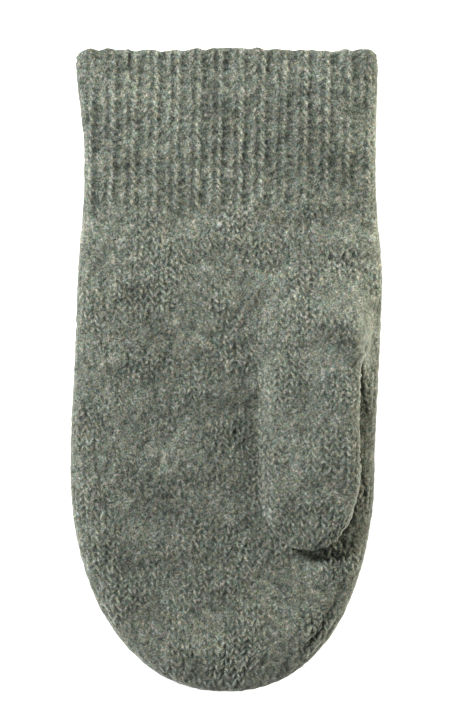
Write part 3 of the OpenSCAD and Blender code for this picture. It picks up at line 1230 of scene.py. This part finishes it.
def wool(name):
    """Heathered, felted wool: yarn with painted shade in the gaps between its stitches, under a haze of
    stray hairs. Painted light lightens the fingertip and the upper part of the thumb side's edge, and
    painted shadow darkens that edge lower down.
    """
    material = new_material(name)
    graph = Graph(material)
    rest = graph.node("ShaderNodeAttribute", attribute_name="rest").outputs["Vector"]
    painted_shade = graph.node("ShaderNodeAttribute", attribute_name="painted_shade").outputs["Fac"]

    stretch = graph.node("ShaderNodeVectorMath", operation="MULTIPLY_ADD")
    broad = graph.fill(stretch, rest, (0.6, 1.0, 1.0), (37.0, 11.0, 5.0))
    yarn = yarn_streaks(graph, rest)
    fleck = graph.noise(rest, 1.05, 3.0, 0.7)
    haze = graph.math("MAXIMUM", hairs(graph, rest, math.radians(68), HAZE_WIDTH, HAZE_LENGTH, 3.1),
                      hairs(graph, rest, math.radians(115), HAZE_WIDTH, HAZE_LENGTH, 17.3))
    stray = hairs(graph, rest, math.radians(25), 0.3, 1.9, 41.9)
    speck = graph.noise(rest, 1.7, 3.0, 0.7)
    fibre = graph.sum((yarn, 0.30), (fleck, 0.38), (haze, 0.22), (stray, 0.14), (speck, 0.42))
    # The painted shade also lifts the fibres' colours on the tops of the yarn.
    height = graph.sum((fibre, 1.0), (painted_shade, 0.12))
    share = graph.remap(height, FIBRE_MIDDLE - FIBRE_SPREAD, FIBRE_MIDDLE + FIBRE_SPREAD)
    colour = graph.ramp(share, WOOL_COLOURS)
    warm = graph.remap(graph.noise(rest, 0.7, 3.0, 0.8), 0.38, 0.62, 0.82, 1.20)
    blue = graph.remap(graph.noise(broad, 0.8, 3.0, 0.75), 0.38, 0.62, 0.85, 1.15)
    colour = graph.tinted(colour, warm, 1.0, blue)
    patch_tone = graph.remap(graph.noise(broad, 0.07, 3.0, 0.6), 0.3, 0.7, 0.76, 1.34)
    x, y, _ = graph.split(rest)
    # Lighter towards the cuff, darker towards the fingers.
    lighter_towards_cuff = graph.remap(y, -10.0, 95.0, 0.87, 1.07)
    # Painted light on the fingertip, whose slope turns away from the key light.
    tip_painted_light = graph.remap(y, -110.0, -75.0, 1.08, 1.0)
    # Painted light along the upper part of the thumb side's edge, and painted shadow along its lower part,
    # level with the thumb and below it.
    side_light_and_shadow_amount = graph.remap(y, -30.0, 20.0, -0.2, 0.24)
    side_painted_light_and_shadow = graph.math("MULTIPLY_ADD", graph.remap(x, 56.5, 60.0), side_light_and_shadow_amount, 1.0)
    # Painted shade of the stitches, times the random tone patches, the gradient along the hand, and the
    # painted light and shadow of the tip and the thumb side.
    tone_and_painted_light = graph.remap(painted_shade, 0.0, 1.0, 0.60, 1.22)
    for factor in (patch_tone, lighter_towards_cuff, tip_painted_light, side_painted_light_and_shadow):
        tone_and_painted_light = graph.math("MULTIPLY", tone_and_painted_light, factor)
    colour = graph.tinted(colour, tone_and_painted_light, tone_and_painted_light, tone_and_painted_light)

    bump = graph.node("ShaderNodeBump")
    set_inputs(bump, Strength=0.8, Distance=0.6 * MM)
    graph.plug(fibre, bump.inputs["Height"])

    shader = graph.node("ShaderNodeBsdfPrincipled")
    graph.plug(colour, shader.inputs["Base Color"])
    graph.plug(graph.remap(fleck, 0.3, 0.7, 0.82, 0.98), shader.inputs["Roughness"])
    graph.plug(bump.outputs[0], shader.inputs["Normal"])
    set_inputs(shader, Specular_IOR_Level=0.15, Sheen_Weight=0.7, Sheen_Roughness=0.4,
               Sheen_Tint=(0.9, 0.93, 0.84, 1))
    output = graph.node("ShaderNodeOutputMaterial")
    graph.plug(shader.outputs[0], output.inputs[0])
    return material


# ---- joins between pieces


def share_normals(pieces):
    """Lets the surface run smoothly from piece to piece wherever the corners of their faces meet."""
    places, sums = [], []
    for piece in pieces:
        mesh = piece.data
        corner_vertex = read(mesh.loops, "vertex_index", kind=np.int32)
        normal = read(mesh.corner_normals, "vector", 3)
        rounded = read(mesh.polygons, "use_smooth", kind=bool)
        on_cloth = np.repeat(rounded, read(mesh.polygons, "loop_total", kind=np.int32))
        total = np.zeros((len(mesh.vertices), 3))
        np.add.at(total, corner_vertex[on_cloth], normal[on_cloth])
        places.append(np.round(read(mesh.vertices, "co", 3) / MM, 3))
        sums.append(unit(total))
    shared = np.unique(np.concatenate(places), axis=0, return_inverse=True)[1].ravel()
    joined = np.zeros((shared.max() + 1, 3))
    np.add.at(joined, shared, np.concatenate(sums))
    normals = unit(joined)[shared]
    start = 0
    for piece, own in zip(pieces, sums):
        piece.data.normals_split_custom_set_from_vertices(normals[start:start + len(own)].tolist())
        start += len(own)


# ---- stage


def add_floor():
    """White floor with a low backdrop round it, far away."""
    size, wall = 4.0, 0.9
    corners = [(-size, -size), (size, -size), (size, size), (-size, size)]
    walls = [(k, k + 4, (k + 1) % 4 + 4, (k + 1) % 4) for k in range(4)]
    floor = add_mesh("floor", [(x, y, z) for z in (0, wall) for x, y in corners], [(0, 1, 2, 3)] + walls)
    material = new_material("floor_white")
    set_inputs(material.node_tree.nodes["Principled BSDF"], Base_Color=(0.9, 0.9, 0.9, 1), Roughness=0.9,
               Emission_Color=(1, 1, 1, 1), Emission_Strength=0.85)
    floor.data.materials.append(material)


def add_light(name, place, size, energy, colour=(1.0, 1.0, 1.0)):
    data = bpy.data.lights.new(name, "AREA")
    data.shape = "DISK"
    data.size = size
    data.energy = energy
    data.color = colour
    light = add_object(name, data, place)
    light.rotation_euler = (-light.location).to_track_quat("-Z", "Y").to_euler()


def add_camera():
    """Straight above the mitten, with a long lens."""
    picture_height, mitten_height, lens = 0.2917, 0.012, 100.0
    data = bpy.data.cameras.new("camera")
    data.lens = lens
    data.sensor_width = 36.0
    data.clip_start = 0.01
    distance = picture_height * lens / data.sensor_width
    bpy.context.scene.camera = add_object("camera", data, (-0.0008, 0.0048, distance + mitten_height))


def add_world():
    world = bpy.data.worlds.new("studio")
    world.use_nodes = True
    set_inputs(world.node_tree.nodes["Background"], Color=(1.0, 0.985, 0.94, 1), Strength=0.11)
    bpy.context.scene.world = world


add_camera()
add_world()
add_floor()
add_light("key", (-0.75, 0.57, 0.72), 0.3, 28.5)
add_light("fill", (-0.2, -1.0, 0.9), 1.0, 2.8)
add_light("side", (0.95, 0.4, 0.09), 0.14, 17.0, (1.0, 0.95, 0.80))
bpy.context.scene.view_settings.view_transform = "Standard"

# ---- pieces

lowest = int(np.argmin(outline[:, 1]))
rib_start = int(np.argmax(outline[:, 1] < RIB_Y))
closure_reach = int(FINGERTIP_REACH / GRID)
cuts = [rib_start, lowest - closure_reach, lowest + closure_reach, len(outline) - 1 - rib_start]
palm, thumb_base = palm_pieces()
thumb_front, thumb_under, thumb_closure = thumb_pieces()

WOOLS = {name: wool(name) for name in ("plain_wool", "ribbed_wool", "edge_wool")}
HAND_PIECES = [
    (palm, "palm", "plain_wool"),
    (thumb_base, "thumb_base", "plain_wool"),
    (opening_piece(), "thumb_opening_edge", "edge_wool"),
    (back_piece(), "back_of_hand", "plain_wool"),
    (cuff_piece("cuff_palm_side_rib", True), "cuff_palm_side", "ribbed_wool"),
    (cuff_piece("cuff_back_side_rib", False), "cuff_back_side", "ribbed_wool"),
    (band_piece("little_finger_side_stitches", *cuts[0:2]), "little_finger_side_band", "edge_wool"),
    (band_piece("fingertip_stitches", *cuts[1:3]), "fingertip_closure", "edge_wool"),
    (band_piece("thumb_side_stitches", *cuts[2:4]), "thumb_side_band", "edge_wool"),
    (cast_on_piece(), "cast_on_edge", "edge_wool"),
]
THUMB_PIECES = [
    (thumb_front, "thumb_front", "plain_wool"),
    (thumb_under, "thumb_underside", "plain_wool"),
    (thumb_closure, "thumb_tip_closure", "edge_wool"),
]
for piece, node, slot in HAND_PIECES + THUMB_PIECES:
    piece.data.materials.append(WOOLS[slot])
    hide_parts(node)
for piece, _, _ in HAND_PIECES:
    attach(piece, "hand")
share_normals([piece for piece, _, _ in HAND_PIECES + THUMB_PIECES])
for piece in (thumb_front, thumb_under):
    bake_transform(piece)
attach(thumb_closure, "thumb")
